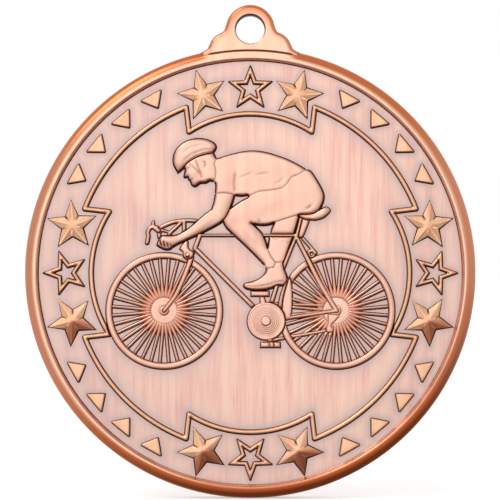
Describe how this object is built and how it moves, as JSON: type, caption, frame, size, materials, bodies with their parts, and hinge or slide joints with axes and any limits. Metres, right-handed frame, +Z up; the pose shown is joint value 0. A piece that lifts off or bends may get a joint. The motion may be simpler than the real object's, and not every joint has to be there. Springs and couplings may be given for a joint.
{
  "type": "sports finisher medal",
  "caption": "Round antique-bronze medal with a hanging tab, raised rim, border of stars and triangles, and a cyclist in relief.",
  "frame": {"origin": "centre of the disc on the recessed reverse field", "axes": "+Z up towards the hanger tab, as the medal hangs; +X to the right of the motif; the obverse faces -Y"},
  "size_m": [0.05, 0.003, 0.0547],
  "materials": {
    "brushed_field": "vertically brushed copper-pink antique plating, darker in the recesses",
    "motif_relief": "satin copper-pink antique plating with dark brown patina round every edge",
    "border_relief": "satin copper-pink antique plating with grey-brown patina in the corners",
    "polished_rim": "brighter orange copper plating, relieved by hand on the rounded edge"
  },
  "bodies": {
    "root": {"field_disc": "brushed_field", "outer_rim": "polished_rim", "hanger_tab": "polished_rim", "border_rib": "border_relief", "solid_star_1": "border_relief", "solid_star_2": "border_relief", "solid_star_3": "border_relief", "solid_star_4": "border_relief", "solid_star_5": "border_relief", "solid_star_6": "border_relief", "solid_star_7": "border_relief", "solid_star_8": "border_relief", "outline_star_1": "border_relief", "outline_star_2": "border_relief", "outline_star_3": "border_relief", "outline_star_4": "border_relief", "triangle_1": "border_relief", "triangle_2": "border_relief", "triangle_3": "border_relief", "triangle_4": "border_relief", "triangle_5": "border_relief", "triangle_6": "border_relief", "triangle_7": "border_relief", "triangle_8": "border_relief", "triangle_9": "border_relief", "triangle_10": "border_relief", "triangle_11": "border_relief", "triangle_12": "border_relief", "triangle_13": "border_relief", "triangle_14": "border_relief", "triangle_15": "border_relief", "triangle_16": "border_relief", "front_tyre": "motif_relief", "front_spokes": "motif_relief", "front_hub": "motif_relief", "rear_tyre": "motif_relief", "rear_spokes": "motif_relief", "rear_hub": "motif_relief", "bike_frame": "motif_relief", "front_fork": "motif_relief", "handlebar": "motif_relief", "brake_lever": "motif_relief", "front_brake": "motif_relief", "rear_brake": "motif_relief", "saddle": "motif_relief", "seat_post": "motif_relief", "chainring": "motif_relief", "crank": "motif_relief", "upper_pedal": "motif_relief", "lower_pedal": "motif_relief", "chain": "motif_relief", "derailleur": "motif_relief", "helmet": "motif_relief", "head": "motif_relief", "jersey": "motif_relief", "near_arm": "motif_relief", "near_leg": "motif_relief", "far_leg": "motif_relief", "shoe": "motif_relief"}
  },
  "joints": []
}
